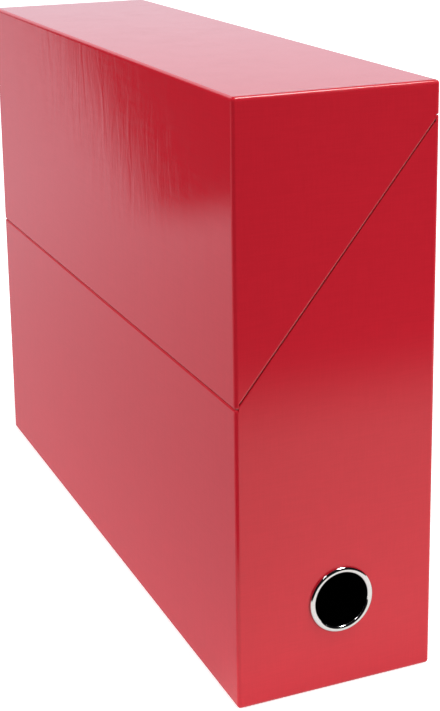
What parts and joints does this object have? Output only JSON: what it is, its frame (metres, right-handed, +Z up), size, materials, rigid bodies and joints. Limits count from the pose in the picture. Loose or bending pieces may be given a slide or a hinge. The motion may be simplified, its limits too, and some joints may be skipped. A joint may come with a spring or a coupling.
{
  "type": "document box",
  "caption": "Tall red covered-board box for papers, with a hood lid cut off along a sloping line and hinged at the back, and a metal finger ring low in one end.",
  "frame": {"origin": "middle of the underside of the closed box", "axes": "+Z up, +Y along the long side away from the finger ring, +X to the hinged back"},
  "size_m": [0.09, 0.3414, 0.255],
  "materials": {
    "greyboard": "matt raw board",
    "red_covering": "varnished paper with a fine linen grain",
    "black_lining": "matt",
    "black_card": "matt",
    "bright_metal": "polished nickel plate",
    "washer_metal": "plain plated steel",
    "red_cloth": "book cloth"
  },
  "bodies": {
    "body": {"base_board": "greyboard", "base_cover": "red_covering", "base_lining": "black_lining", "front_board": "greyboard", "front_cover": "red_covering", "front_lining": "black_lining", "back_board": "greyboard", "back_cover": "red_covering", "back_lining": "black_lining", "ring_end_board": "greyboard", "ring_end_cover": "red_covering", "ring_end_lining": "black_lining", "rear_end_board": "greyboard", "rear_end_cover": "red_covering", "rear_end_lining": "black_lining", "front_neck_strip": "black_card", "ring_end_neck_strip": "black_card", "rear_end_neck_strip": "black_card", "finger_ring": "bright_metal", "ring_washer": "washer_metal", "hinge_cloth": "red_cloth"},
    "lid": {"lid_top_board": "greyboard", "lid_front_board": "greyboard", "lid_back_board": "greyboard", "lid_cover": "red_covering", "lid_top_lining": "black_lining", "lid_front_lining": "black_lining", "lid_ring_cheek_board": "greyboard", "lid_ring_cheek_cover": "red_covering", "lid_ring_cheek_lining": "black_lining", "lid_rear_cheek_board": "greyboard", "lid_rear_cheek_cover": "red_covering", "lid_rear_cheek_lining": "black_lining"}
  },
  "joints": [
    {"name": "lid_hinge", "type": "hinge", "parent": "body", "child": "lid", "pos_m": [0.0451, 0, 0.241], "axis": [0, 1, 0], "range_deg": [0, 180], "deforming": ["hinge_cloth"]}
  ]
}
